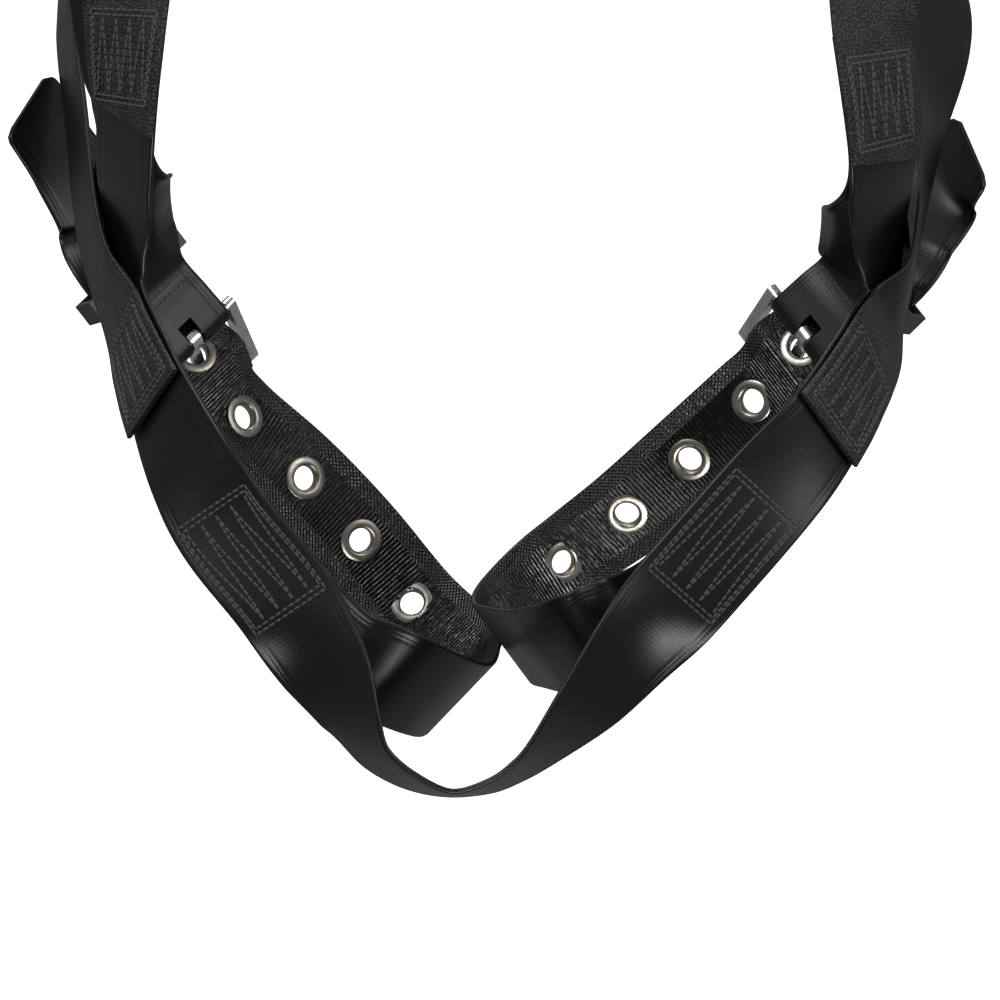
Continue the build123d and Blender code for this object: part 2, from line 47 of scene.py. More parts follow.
# ---- driving dimensions, as in the CAD ----
WEB_W = 44.5            # webbing width, the 1-3/4 inch trade size
WEB_T = 2.4             # webbing thickness with its coating
LAYER = 3.2             # from one sewn layer's middle to the next one's
STEPS = 5               # sections between two stations of a strap
CURL_FADE = 1.9         # stations over which a curl fades to flat
CURL_R_LEFT = 17.0      # tightest curl of each hip strap
CURL_R_RIGHT = 22.0
HIP_SHIFT_LEFT = 9.0    # hip strap, away from the midline in the sewn stack
HIP_SHIFT_RIGHT = 3.6
HOLE_R = 5.7            # clear hole in a leg-strap grommet
FLANGE_R = 10.0
BAR_R = 2.5             # round bars of the leg buckles
BAR_GAP = 0.3           # webbing to the bar it folds round
FRAME_LEN = 30.0        # leg buckle, pivot bar to front bar
HIP_TURN = 25.0         # degrees from the leg buckle's plane to the hip strap that holds it
FOLD_BACK = 30.0        # length of webbing turned back and sewn
SLOT_W = 9.0            # slot in the fold for the tongue
CROSS_Z = 580.0         # where the two main straps cross on the back
CROSS_Y = -135.0
ADJ_LEN = 32.0          # torso adjuster, lower bar to top bar
SLIDE_AT = 14.0         # its slide bar, from the lower bar
SLIDE_R = 2.3
STACK_LIFT = 3.6        # middles of the three layers sewn together at the hip
BACK_SHIFT = 2.5        # back strap, towards the midline in it
RETURN_LIFT = 3.9       # turned-back end of the hip strap, over the keeper's inner wall
TAIL_LIFT = 7.5         # leg strap's tail over it
FRONT_LIFT = 4.2        # front strap over the seat strap
KEEPER_AT = 40.0        # leg keeper, behind the pivot bar
CHEST_Z = 606.0         # height of the chest strap
CHEST_Y = 124.0

# ---- strap stations: middle of the strap, then the direction across it ----
SEAT = [
    ((-161.5, -56, 205), (0.30, -0.68, 0.67)),
    ((-150.5, -79.5, 176), (0.56, -0.77, 0.30)),
    ((-133, -102, 141), (0.74, -0.40, 0.52)),
    ((-118, -108, 116), (0.76, -0.15, 0.63)),
    ((-92, -113, 84), (0.71, -0.05, 0.70)),
    ((-75, -112, 56), (0.52, -0.45, 0.72)),
    ((-64, -109, 34), (0.27, -0.78, 0.56)),
    ((-54, -106, 18), (0.06, -0.92, 0.38)),
    ((-38, -104, 7), (-0.05, -0.97, 0.25)),
    ((-21, -103, 2), (0.0, -1.0, 0.10)),
    ((-4, -104, 5), (0.0, -0.98, 0.17)),
    ((9, -105, 12), (-0.02, -0.96, 0.27)),
    ((20, -106, 21), (-0.13, -0.92, 0.36)),
    ((39, -109, 41), (-0.33, -0.75, 0.58)),
    ((59, -112, 66), (-0.52, -0.48, 0.70)),
    ((77, -113, 87), (-0.68, -0.10, 0.73)),
    ((114, -108, 129), (-0.66, -0.10, 0.75)),
    ((139, -98, 158), (-0.65, -0.50, 0.57)),
    ((157.5, -73.5, 187), (-0.52, -0.76, 0.39)),
    ((167.5, -51, 206), (-0.30, -0.68, 0.67)),
]
# the stack where the back strap, the seat strap and the hip strap are sewn together
STACK_LEFT = [
    ((-162, -90, 294), (0.62, -0.74, -0.26)),
    ((-162, -94, 318), (0.76, -0.64, -0.1)),
    ((-161.5, -97, 345), (0.88, -0.47, -0.04)),
]
STACK_RIGHT = [
    ((166, -88, 276), (-0.68, -0.71, -0.18)),
    ((164, -93, 300), (-0.76, -0.65, -0.05)),
    ((161, -97, 330), (-0.83, -0.55, 0)),
]
# the seat strap's ends, from the stack down to the first and last SEAT stations
RISE_LEFT = [
    ((-164, -74, 268), (0.54, -0.82, -0.15)),
    ((-165, -56, 244), (0.4, -0.9, 0.05)),
    ((-164.5, -49, 223), (0.34, -0.88, 0.32)),
]
RISE_RIGHT = [
    ((167, -70, 256), (-0.56, -0.8, -0.15)),
    ((168.5, -54, 238), (-0.42, -0.9, 0.05)),
    ((169, -47, 221), (-0.34, -0.88, 0.32)),
]
FRONT_LEFT = [
    ((-176.5, -41, 228), (0.3, -0.94, 0.06)),
    ((-183.5, -28, 252), (0.28, -0.96, 0.02)),
    ((-190.5, -8, 300), (0.26, -0.96, 0)),
    ((-198, 18, 352), (0.22, -0.97, 0)),
    ((-200, 46, 400), (-0.05, -1, 0.3)),
    ((-188, 74, 438), (-0.45, -0.8, 0.3)),
]
FRONT_RIGHT = [
    ((180, -42, 222), (-0.14, -0.98, 0.13)),
    ((186, -28, 248), (-0.1, -1, 0.03)),
    ((193, -8, 300), (-0.35, -0.94, 0)),
    ((198, 18, 352), (-0.75, -0.65, 0)),
    ((199, 46, 400), (-0.2, -0.95, 0.2)),
    ((188, 74, 438), (0.4, -0.8, 0.3)),
]
# from the left stack up the back, over the right shoulder and down the chest
BACK = [
    ((-161, -101, 368), (0.97, -0.22, 0)),
    ((-150, -113, 415), (0.95, -0.15, -0.25)),
    ((-118, -127, 466), (0.83, -0.05, -0.55)),
    ((-84, -134, 501), (0.7, 0, -0.7)),
    ((-50, CROSS_Y, 534), (0.7, 0, -0.71)),
    ((0, CROSS_Y, CROSS_Z), (0.7, 0, -0.71)),
    ((46, CROSS_Y, 624), (0.71, 0, -0.7)),
    ((64, -133, 643), (0.76, 0.06, -0.62)),
    ((82, -112, 674), (0.9, 0.22, -0.34)),
    ((97, -56, 704), (0.99, 0.1, -0.1)),
    ((101, 6, 712), (1, 0, 0)),
    ((100, 60, 690), (1, 0, 0)),
    ((99, 95, 640), (1, 0, 0)),
    ((104, 112, 586), (0.95, 0, 0.3)),
]
LEG_LEFT = [
    ((-69, -98, 61), (0.68, 0.0, 0.73)),
    ((-48, -93, 52), (0.68, 0.0, 0.73)),
    ((-30, -65, 43), (0.69, 0.0, 0.72)),
    ((-20, -25, 39), (0.69, 0.0, 0.72)),
    ((-16, 20, 44), (0.69, 0.0, 0.72)),
    ((-17, 60, 56), (0.69, 0.05, 0.72)),
]
LEG_RIGHT = [
    ((58, -94.5, 75.5), (-0.62, 0.05, 0.78)),
    ((38, -94, 68), (-0.60, 0.0, 0.80)),
    ((20, -62, 62), (-0.60, 0.0, 0.80)),
    ((8, -20, 62), (-0.60, 0.0, 0.80)),
    ((1, 20, 64), (-0.60, 0.0, 0.80)),
    ((5, 62, 74), (-0.62, -0.2, 0.76)),
]
HOLES_LEFT = [
    ((-41.4, 92, 79.6), (0.74, 0.10, 0.66)),
    ((-65.4, 82, 109.3), (0.70, 0.17, 0.69)),
    ((-91.1, 68, 138.2), (0.64, 0.36, 0.66)),
    ((-118.7, 53, 166.3), (0.54, 0.62, 0.57)),
]
HOLES_RIGHT = [
    ((29.1, 92, 98.9), (-0.63, -0.42, 0.66)),
    ((59.4, 82, 121.9), (-0.68, -0.25, 0.72)),
    ((88.3, 68, 147.1), (-0.68, -0.05, 0.72)),
    ((116.9, 53, 173.7), (-0.66, 0.2, 0.72)),
]
TAIL_LEFT = [
    ((-182, 31, 256), (0.48, 0.5, 0.72)),
    ((-197, 30, 281), (0.38, 0.52, 0.77)),
    ((-214.7, 18, 308.4), (0.33, 0.52, 0.79)),
]
TAIL_RIGHT = [
    ((187, 20, 249), (-0.45, 0.5, 0.74)),
    ((203, 28, 271), (-0.27, 0.5, 0.82)),
    ((214.5, 18, 288), (-0.17, 0.46, 0.87)),
]
TAIL_CUT = 3.0          # the free end is cut on the slant by this much each side
HIP_LEFT = [
    ((-165.4, -67, 276.5), (0.7, -0.68, -0.23)),
    ((-164.6, -42.5, 261.5), (0.93, 0.24, -0.26)),
    ((-164, 1, 242), (0.9, 0.27, 0.34)),
]
HIP_RIGHT = [
    ((164.7, -66.7, 261.7), (-0.82, -0.5, -0.28)),
    ((162.4, -32.2, 247.5), (-0.97, 0.21, -0.11)),
    ((162.3, 2.3, 233.3), (-0.89, 0.06, 0.44)),
]
# leg buckle: pivot bar middle, front bar middle, direction along the bars
BUCKLE_LEFT = ((-141.0, 28.6, 201.0), (-130.8, 49, 176), (0.62, 0.50, 0.60))
BUCKLE_RIGHT = ((140.0, 26.0, 203.0), (127.7, 49, 183.3), (-0.62, 0.50, 0.60))

# ---- detail that only the visual has ----
ROW_STEP = 2.0          # distance between two rows of a strap's mesh
FINE = 24               # samples between two stations, before they are spread evenly
SELVEDGE = 1.1          # radius of the rounded edge
GROOVES = (18.9, 17.2)  # the two lines woven beside each edge
GROOVE_DEPTH = 0.10
STITCH_PITCH = 3.2      # from one stitch to the next in a row
STITCH_LEN = 3.0
STITCH_R = 0.55         # radius of the thread


# ---------------------------------------------------------------- strap paths
def mirror_x(stations):
    """The same stations on the other side of the midline."""
    return [((-p[0], p[1], p[2]), (-w[0], w[1], w[2])) for p, w in stations]


def mix(a, b, low, high, t):
    """Straight blend of two (middle, across) pairs between two knots."""
    k = (t - low) / (high - low)
    return tuple(x * (1 - k) + y * k for x, y in zip(a, b))


def catmull(stations, steps):
    """Centripetal Catmull-Rom samples through the (middle, across) stations."""
    rows = [(Vector(p), Vector(w)) for p, w in stations]
    first = tuple(a * 2 - b for a, b in zip(rows[0], rows[1]))
    last = tuple(a * 2 - b for a, b in zip(rows[-1], rows[-2]))
    rows = [first] + rows + [last]
    samples = []
    for i in range(1, len(rows) - 2):
        quad = rows[i - 1:i + 3]
        knots = [0.0]
        for a, b in zip(quad, quad[1:]):
            knots.append(knots[-1] + (b[0] - a[0]).length ** 0.5)
        for k in range(steps):
            t = knots[1] + (knots[2] - knots[1]) * k / steps
            ones = [mix(quad[j], quad[j + 1], knots[j], knots[j + 1], t) for j in range(3)]
            twos = [mix(ones[j], ones[j + 1], knots[j], knots[j + 2], t) for j in range(2)]
            samples.append(mix(twos[0], twos[1], knots[1], knots[2], t))
    samples.append(rows[-2])
    return samples


def frames(rows):
    """(middle, along, across, outward normal) at each sample. The normal keeps its side
    along the strap and points away from the wearer at the first sample."""
    out = []
    for i, (middle, across) in enumerate(rows):
        before = rows[max(i - 1, 0)][0]
        after = rows[min(i + 1, len(rows) - 1)][0]
        along = (after - before).normalized()
        across = (across - along * across.dot(along)).normalized()
        out.append((middle, along, across, along.cross(across)))
    middle, normal = out[0][0], out[0][3]
    if normal.x * middle.x + normal.y * middle.y < 0:
        out = [(m, t, w, -n) for m, t, w, n in out]
    return out


class Strap:
    """A strap's path, sampled evenly along its length."""

    def __init__(self, stations, row_step=ROW_STEP):
        fine = catmull(stations, FINE)
        lengths = [0.0]
        for a, b in zip(fine, fine[1:]):
            lengths.append(lengths[-1] + (b[0] - a[0]).length)
        count = max(2, round(lengths[-1] / row_step))
        self.step = lengths[-1] / count
        rows = []
        k = 0
        for i in range(count + 1):
            s = i * self.step
            while k < len(fine) - 2 and lengths[k + 1] < s:
                k += 1
            span = max(lengths[k + 1] - lengths[k], 1e-6)
            rows.append(mix(fine[k], fine[k + 1], 0, 1, min((s - lengths[k]) / span, 1)))
        self.rows = frames(rows)
        self.length = lengths[-1]
        self.marks = lengths[::FINE]    # the length at each station

    def station(self, s):
        """The place of length s counted in stations, with its fraction."""
        k = max(i for i in range(len(self.marks) - 1) if i == 0 or self.marks[i] <= s)
        return k + (s - self.marks[k]) / (self.marks[k + 1] - self.marks[k])

    def row(self, s):
        """The frame at length s, blended between two rows."""
        i = min(max(int(s / self.step), 0), len(self.rows) - 2)
        k = min(max(s / self.step - i, 0), 1)
        return tuple(a * (1 - k) + b * k for a, b in zip(self.rows[i], self.rows[i + 1]))

    def at(self, s, v, h):
        """The point at length s, v across and h outwards."""
        middle, along, across, normal = self.row(s)
        return middle + across * v + normal * h

    def find(self, point):
        """The length at which the strap passes nearest a point."""
        point = Vector(point)
        near = min(range(len(self.rows)), key=lambda i: (self.rows[i][0] - point).length)
        return near * self.step


def lifted(rows, lift, shift=0.0):
    """Stations beside the given frames of another strap, lifted outwards and shifted across."""
    return [(tuple(m + n * lift + w * shift), tuple(w)) for m, t, w, n in rows]


class Local:
    """A buckle's frame: u along the strap, w across and n outwards."""

    def __init__(self, origin, along, across, outward):
        self.o = Vector(origin)
        self.u = Vector(along).normalized()
        across = Vector(across)
        self.w = (across - self.u * across.dot(self.u)).normalized()
        self.n = self.u.cross(self.w)
        if self.n.dot(Vector(outward)) < 0:
            self.n = -self.n

    def at(self, s, v, h):
        return self.o + self.u * s + self.w * v + self.n * h

    def station(self, s, h):
        return (tuple(self.at(s, 0, h)), tuple(self.w))

    def holding_fold(self):
        """Stations of the hip strap round the pivot bar, turned back outside it."""
        radius = BAR_R + BAR_GAP + WEB_T / 2
        rows = [self.station(-32, -1.5), self.station(-15, -2.6)]
        for k in range(9):
            a = -pi / 2 + pi * k / 8
            rows.append(self.station(radius * cos(a), radius * sin(a)))
        return rows + [self.station(-15, 2.6), self.station(-25, 1.4), self.station(-32, RETURN_LIFT - 0.1),
                       self.station(-KEEPER_AT, RETURN_LIFT), self.station(-KEEPER_AT - 7.5, RETURN_LIFT)]

    def fold(self, bar_r, back, arc_steps=8):
        """Stations of webbing that turns inwards round a bar at s = 0 and goes back."""
        radius = bar_r + BAR_GAP + WEB_T / 2
        close = WEB_T / 2 + 0.3
        rows = [self.station(-back, close), self.station(-back / 2, 2.6)]
        for k in range(arc_steps + 1):
            a = pi / 2 - pi * k / arc_steps
            rows.append(self.station(radius * cos(a), radius * sin(a)))
        return rows + [self.station(-back / 2, -2.6), self.station(-back + 3, -close)]


# ---------------------------------------------------------------- meshes
def mesh_object(name, points, faces, material, uvs=None, smooth=True, body=WEBBING):
    """A mesh object in metres that rides on a body."""
    mesh = bpy.data.meshes.new(name)
    mesh.from_pydata([p * MM for p in points], [], faces)
    if uvs is not None:
        layer = mesh.uv_layers.new(name="weave")
        flat = [c for loop in mesh.loops for c in uvs[loop.vertex_index]]
        layer.data.foreach_set("uv", flat)
    mesh.validate()
    if smooth:
        mesh.polygons.foreach_set("use_smooth", [True] * len(mesh.polygons))
        mesh.set_sharp_from_angle(angle=radians(50))
    mesh.materials.append(material)
    mesh.update()
    piece = bpy.data.objects.new(name, mesh)
    bpy.context.scene.collection.objects.link(piece)
    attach(piece, body)
    return piece


def columns():
    """Places across the strap: fine at the rounded edge and at the woven lines."""
    half = WEB_W / 2
    side = [half, half - 0.12, half - 0.4, half - SELVEDGE]
    for groove in GROOVES:
        side += [groove + 0.45, groove, groove - 0.45]
    side += [15.0 - 1.5 * k for k in range(10)]
    return [-v for v in side] + [0.0] + side[::-1]


def half_thickness(v):
    """Half the strap's thickness at v: rounded at the edge, dipped at the woven lines."""
    inset = abs(v) - (WEB_W / 2 - SELVEDGE)
    full = WEB_T / 2
    if inset > 0:
        full *= 0.15 + 0.85 * sqrt(max(1 - (inset / SELVEDGE) ** 2, 0))
    for groove in GROOVES:
        if abs(abs(v) - groove) < 0.1:
            full -= GROOVE_DEPTH
    return full


def web(name, strap, material, inner=None, start=0.0, slant=0.0, corner=0.0, holes=(), slots=(),
        bend=None, plain_from=None):
    """The webbing of one strap as a closed mesh that replaces its CAD node.

    inner is the material of the side nearest the wearer, as far as plain_from. start and
    slant skew the two ends, and corner rounds the last one. Holes are (s, radius), and
    slots are (low s, high s, half width). bend is the curl across it at a length."""
    places = columns()
    rows = strap.rows
    last = len(rows) - 1
    points, uvs = [], []
    for face in (1, -1):
        for i, (middle, along, across, normal) in enumerate(rows):
            to_end = (last - i) * strap.step
            skew = slant * max(0.0, 1 - to_end / 40.0) + start * max(0.0, 1 - i * strap.step / 40.0)
            narrow = 1.0
            if corner and to_end < corner:
                narrow = 1 - (corner - sqrt(corner ** 2 - (corner - to_end) ** 2)) * 2 / WEB_W
            curl = bend(i * strap.step) if bend else 0.0
            for v in places:
                h = face * half_thickness(v)
                shift = skew * v / (WEB_W / 2)
                if curl > 1e-5:
                    a = curl * v
                    spot = middle + across * (sin(a) / curl) - normal * ((1 - cos(a)) / curl)
                    points.append(spot + (normal * cos(a) + across * sin(a)) * h)
                else:
                    points.append(middle + across * (v * narrow) + normal * h + along * shift)
                uvs.append((i * strap.step + shift, v))
    wide = len(places)
    kept = set()
    for i in range(last):
        s = (i + 0.5) * strap.step
        for j in range(wide - 1):
            v = (places[j] + places[j + 1]) / 2
            in_hole = any((s - hs) ** 2 + v ** 2 < r ** 2 for hs, r in holes)
            in_slot = any(low < s < high and abs(v) < half for low, high, half in slots)
            if not (in_hole or in_slot):
                kept.add((i, j))
    under = len(rows) * wide
    faces, inside = [], []
    for i, j in sorted(kept):
        a, b = i * wide + j, (i + 1) * wide + j
        faces.append((a, a + 1, b + 1, b))
        if plain_from is None or i * strap.step < plain_from:
            inside.append(len(faces))
        faces.append((a + under, b + under, b + 1 + under, a + 1 + under))
        for (di, dj), (p, q) in (((-1, 0), (a, a + 1)), ((1, 0), (b + 1, b)),
                                 ((0, -1), (b, a)), ((0, 1), (a + 1, b + 1))):
            if (i + di, j + dj) not in kept:
                faces.append((q, p, p + under, q + under))
    used = sorted({k for face in faces for k in face})
    new = {k: n for n, k in enumerate(used)}
    piece = mesh_object(name + "_web", [points[k] for k in used],
                        [tuple(new[k] for k in face) for face in faces], material,
                        [uvs[k] for k in used])
    if inner is not None:
        piece.data.materials.append(inner)
        for k in inside:
            piece.data.polygons[k].material_index = 1
    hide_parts(name)
    return piece


def stitch(points, faces, centre, along, side, up):
    """One stitch: a six-sided thread that dips into the webbing at both ends."""
    base = len(points)
    rings = ((-0.5, 0.35, -0.55), (-0.36, 0.9, -0.1), (0.0, 1.0, 0.12), (0.36, 0.9, -0.1), (0.5, 0.35, -0.55))
    for t, thick, rise in rings:
        middle = centre + along * (t * STITCH_LEN) + up * (rise * STITCH_R)
        for k in range(6):
            a = 2 * pi * k / 6
            points.append(middle + (side * cos(a) + up * sin(a)) * (STITCH_R * thick))
    for r in range(len(rings) - 1):
        for k in range(6):
            a = base + r * 6 + k
            b = base + r * 6 + (k + 1) % 6
            faces.append((a, b, b + 6, a + 6))
    faces.append(tuple(base + k for k in range(5, -1, -1)))
    faces.append(tuple(base + (len(rings) - 1) * 6 + k for k in range(6)))


def seam(name, strap, lines, faces_at, lift=0.0):
    """Rows of stitches along (s, v) polylines, on the faces given as +1 and -1."""
    points, polys = [], []
    for line in lines:
        for (s0, v0), (s1, v1) in zip(line, line[1:]):
            length = sqrt((s1 - s0) ** 2 + (v1 - v0) ** 2)
            count = max(1, round(length / STITCH_PITCH))
            for k in range(count):
                t = (k + 0.5) / count
                s, v = s0 + (s1 - s0) * t, v0 + (v1 - v0) * t
                middle, along, across, normal = strap.row(s)
                run = (along * (s1 - s0) + across * (v1 - v0)).normalized()
                for face in faces_at:
                    up = normal * face
                    centre = middle + across * v + normal * (lift + face * (WEB_T / 2 + 0.05))
                    stitch(points, polys, centre, run, run.cross(up), up)
    return mesh_object(name, points, polys, THREAD)


def box_lines(s, length, width, strokes=8):
    """A doubled box of stitches round a zigzag whose strokes run along the strap."""
    half, side = length / 2, width / 2
    lines = []
    for inset in (0.0, 2.4):
        a, b = half - inset, side - inset * 0.5
        lines.append([(s - a, -b), (s + a, -b), (s + a, b), (s - a, b), (s - a, -b)])
    a, b = half - 4.0, side - 2.6
    zigzag = [(s + (a if k % 2 else -a), -b + 2 * b * k / strokes) for k in range(strokes + 1)]
    return lines + [zigzag]


def cross_rows(spots, width):
    """Straight rows of stitches across the strap."""
    return [[(s, -width / 2), (s, width / 2)] for s in spots]


def eyelet(facing, points, faces, middle, normal, along):
    """One rolled eyelet, turned from an outline: its flange on one side, its washer on the other."""
    top = WEB_T / 2 + 0.25
    near = [(FLANGE_R, 0.0), (FLANGE_R - 0.05, 0.35), (FLANGE_R - 0.5, 0.6), (8.0, 0.72), (7.2, 0.75),
            (6.5, 0.6), (HOLE_R + 0.25, 0.2), (HOLE_R, -0.4)]
    far = [(HOLE_R, 0.6), (HOLE_R + 0.3, 1.3), (6.6, 1.45), (7.2, 1.0), (7.8, 0.75), (FLANGE_R - 0.5, 0.6),
           (FLANGE_R, 0.0)]
    outline = [(r, facing * (top + h)) for r, h in near] + [(r, -facing * (top + h)) for r, h in far]
    base = len(points)
    across = normal.cross(along).normalized()
    start = across.cross(normal).normalized()
    turns = 48
    for k in range(turns):
        a = 2 * pi * k / turns
        out = start * cos(a) + across * sin(a)
        for r, h in outline:
            points.append(middle + out * r + normal * h)
    wide = len(outline)
    for k in range(turns):
        n = (k + 1) % turns
        for j in range(wide):
            m = (j + 1) % wide
            faces.append((base + k * wide + j, base + n * wide + j, base + n * wide + m, base + k * wide + m))


# ---------------------------------------------------------------- materials
class Nodes:
    """Small helper round one material's node tree."""

    def __init__(self, name):
        self.material = bpy.data.materials.new(name)
        self.material.use_nodes = True
        self.tree = self.material.node_tree
        self.shader = self.tree.nodes["Principled BSDF"]

    def add(self, kind, inputs=(), **settings):
        node = self.tree.nodes.new(kind)
        for key, value in settings.items():
            setattr(node, key, value)
        for key, value in dict(inputs).items():
            if isinstance(value, bpy.types.NodeSocket):
                self.tree.links.new(value, node.inputs[key])
            else:
                node.inputs[key].default_value = value
        return node

    def maths(self, operation, a, b=0.0, c=0.0):
        return self.add("ShaderNodeMath", {0: a, 1: b, 2: c}, operation=operation).outputs[0]

    def ramp(self, value, stops):
        node = self.add("ShaderNodeValToRGB", {"Fac": value})
        while len(node.color_ramp.elements) < len(stops):
            node.color_ramp.elements.new(0.5)
        for element, (place, tone) in zip(node.color_ramp.elements, stops):
            element.position = place
            element.color = (*tone, 1) if isinstance(tone, tuple) else (tone, tone, tone, 1)
        return node.outputs["Color"]

    def noise(self, vector, scale, detail=3.0):
        inputs = {"Scale": scale, "Detail": detail}
        if vector is not None:
            inputs["Vector"] = vector
        return self.add("ShaderNodeTexNoise", inputs).outputs["Fac"]

    def object_place(self):
        return self.add("ShaderNodeTexCoord").outputs["Object"]

    def bump(self, height, distance, strength=1.0):
        node = self.add("ShaderNodeBump", {"Height": height, "Distance": distance, "Strength": strength})
        self.tree.links.new(node.outputs["Normal"], self.shader.inputs["Normal"])

    def link(self, output, socket):
        self.tree.links.new(output, self.shader.inputs[socket])

    def set(self, **values):
        for key, value in values.items():
            self.shader.inputs[key.replace("_", " ")].default_value = value


def webbing_material(name, dark, light, rough_low, rough_high, depth, speckle, shine, fade=None):
    """Black coated or plain webbing: fine ribs across it, yarns along it, and speckle
    that goes away between the two lengths of fade."""
    m = Nodes(name)
    uv = m.add("ShaderNodeUVMap", uv_map="weave").outputs["UV"]
    parts = m.add("ShaderNodeSeparateXYZ", {"Vector": uv})
    s, v = parts.outputs["X"], parts.outputs["Y"]
    wobble = m.maths("MULTIPLY", m.noise(uv, 0.35, 2.0), 1.6)
    rib = m.maths("SINE", m.maths("ADD", m.maths("MULTIPLY", s, 2 * pi / 1.7), wobble))
    yarn = m.maths("SINE", m.maths("MULTIPLY", v, 2 * pi / 1.3))
    weave = m.maths("MULTIPLY", rib, m.maths("MULTIPLY_ADD", yarn, 0.45, 0.55))
    grain = m.noise(uv, 1.1, 4.0)
    patches = m.noise(uv, 0.06, 3.0)
    height = m.maths("ADD", weave, m.maths("MULTIPLY", grain, speckle))
    flecks = m.noise(uv, 0.9, 5.0)
    if fade:
        away = m.add("ShaderNodeMapRange", {"Value": s, "From Min": fade[0], "From Max": fade[1],
                                            "To Min": 0.0, "To Max": 0.25}).outputs["Result"]
        flecks = m.maths("SUBTRACT", flecks, away)
    tone = m.maths("MULTIPLY_ADD", m.maths("SUBTRACT", patches, 0.5), 0.25, flecks)
    m.link(m.ramp(tone, ((0.44, dark), (0.66, light))), "Base Color")
    gloss = m.maths("ADD", m.maths("MULTIPLY", grain, 0.4), m.maths("MULTIPLY", patches, 0.6))
    m.link(m.ramp(gloss, ((0.3, rough_low), (0.7, rough_high))), "Roughness")
    m.bump(height, depth * MM)
    m.set(Specular_IOR_Level=shine)
    return m.material


def ribbed_material(name):
    """The leg strap's uncoated side: shiny ribs across it and a checked band by each edge."""
    m = Nodes(name)
    uv = m.add("ShaderNodeUVMap", uv_map="weave").outputs["UV"]
    parts = m.add("ShaderNodeSeparateXYZ", {"Vector": uv})
    s, v = parts.outputs["X"], parts.outputs["Y"]
    wobble = m.maths("MULTIPLY", m.noise(uv, 0.25, 2.0), 2.2)
    rib = m.maths("SINE", m.maths("ADD", m.maths("MULTIPLY", s, 2 * pi / 2.0), wobble))
    check = m.maths("MULTIPLY", m.maths("SINE", m.maths("MULTIPLY", s, 2 * pi / 2.4)),
                    m.maths("SINE", m.maths("MULTIPLY", v, 2 * pi / 2.2)))
    band = m.maths("GREATER_THAN", m.maths("ABSOLUTE", v), 13.5)
    body = m.maths("MULTIPLY", rib, m.maths("SUBTRACT", 1.0, band))
    height = m.maths("ADD", body, m.maths("MULTIPLY", check, band))
    stretched = m.add("ShaderNodeMapping", {"Vector": uv, "Scale": (1.6, 0.16, 1.0)}).outputs["Vector"]
    streak = m.noise(stretched, 1.0, 3.0)
    worn = m.noise(uv, 0.05, 2.0)
    m.link(m.ramp(streak, ((0.35, 0.001), (0.75, 0.005))), "Base Color")
    m.link(m.ramp(m.maths("ADD", m.maths("MULTIPLY", streak, 0.6), m.maths("MULTIPLY", worn, 0.4)),
                  ((0.40, 0.14), (0.60, 0.42))), "Roughness")
    m.bump(m.maths("MULTIPLY", height, m.maths("MULTIPLY_ADD", streak, 1.0, 0.1)), 0.5 * MM)
    m.set(Specular_IOR_Level=0.5)
    return m.material


def metal_material(name, dark, light, rough_low, rough_high, scratch):
    """Plated steel with faint blotches and fine scratches."""
    m = Nodes(name)
    place = m.object_place()
    blotch = m.noise(place, 120.0, 3.0)
    stretched = m.add("ShaderNodeMapping", {"Vector": place, "Scale": (60.0, 900.0, 400.0)}).outputs["Vector"]
    lines = m.noise(stretched, 3.0, 2.0)
    m.link(m.ramp(blotch, ((0.3, dark), (0.7, light))), "Base Color")
    m.link(m.ramp(lines, ((0.3, rough_low), (0.75, rough_high))), "Roughness")
    m.bump(lines, scratch * MM)
    m.set(Metallic=1.0)
    return m.material


def plastic_material(name):
    """Black moulded plastic with a fine grained surface."""
    m = Nodes(name)
    place = m.object_place()
    grain = m.noise(place, 1400.0, 2.0)
    cloudy = m.noise(place, 60.0, 2.0)
    m.link(m.ramp(cloudy, ((0.3, 0.012), (0.7, 0.022))), "Base Color")
    m.link(m.ramp(grain, ((0.3, 0.36), (0.7, 0.52))), "Roughness")
    m.bump(grain, 0.03 * MM)
    return m.material


def thread_material(name):
    """Twisted sewing thread, dark bluish grey."""
    m = Nodes(name)
    place = m.object_place()
    fibre = m.noise(place, 2600.0, 2.0)
    m.link(m.ramp(fibre, ((0.3, (0.040, 0.040, 0.045)), (0.7, (0.085, 0.085, 0.094)))), "Base Color")
    m.link(m.ramp(fibre, ((0.3, 0.5), (0.7, 0.7))), "Roughness")
    m.bump(fibre, 0.08 * MM)
    m.set(Specular_IOR_Level=0.3)
    return m.material


SMOOTH = webbing_material("smooth webbing", 0.003, 0.005, 0.34, 0.42, 0.010, 0.3, 0.32)
ROUGH = webbing_material("rough webbing", 0.004, 0.050, 0.50, 0.66, 0.10, 2.0, 0.25)
FADING = webbing_material("front webbing", 0.004, 0.045, 0.40, 0.52, 0.05, 1.6, 0.30, fade=(60.0, 110.0))
RIBBED = ribbed_material("ribbed webbing")
THREAD = thread_material("thread")
ZINC = metal_material("bright zinc", (0.52, 0.56, 0.58), (0.70, 0.74, 0.76), 0.22, 0.34, 0.006)
NICKEL = metal_material("dull nickel", (0.20, 0.185, 0.165), (0.36, 0.335, 0.30), 0.30, 0.46, 0.010)
PLASTIC = plastic_material("black plastic")


